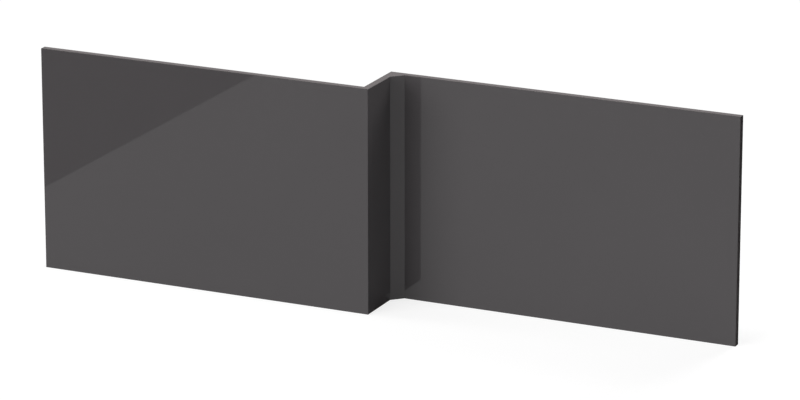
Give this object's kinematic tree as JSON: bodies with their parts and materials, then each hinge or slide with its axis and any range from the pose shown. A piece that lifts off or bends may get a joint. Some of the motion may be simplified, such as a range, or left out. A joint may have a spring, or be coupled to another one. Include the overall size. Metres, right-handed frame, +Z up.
{
  "type": "bath panel",
  "caption": "Stepped gloss grey front panel for a square shower bath: flat boards with a mitred outer corner and a fillet strip in the inner corner. It closes off the bath's side.",
  "frame": {"origin": "on the floor, at the centre of the panel's overall length and depth", "axes": "+X along the panel, to the right as seen from the show side; +Y to the back, towards the bath; +Z up"},
  "size_m": [1.7, 0.163, 0.54],
  "materials": {
    "gloss_grey": "gloss"
  },
  "bodies": {
    "root": {"front_board": "gloss_grey", "return_board": "gloss_grey", "rear_board": "gloss_grey", "corner_fillet": "gloss_grey"}
  },
  "joints": []
}
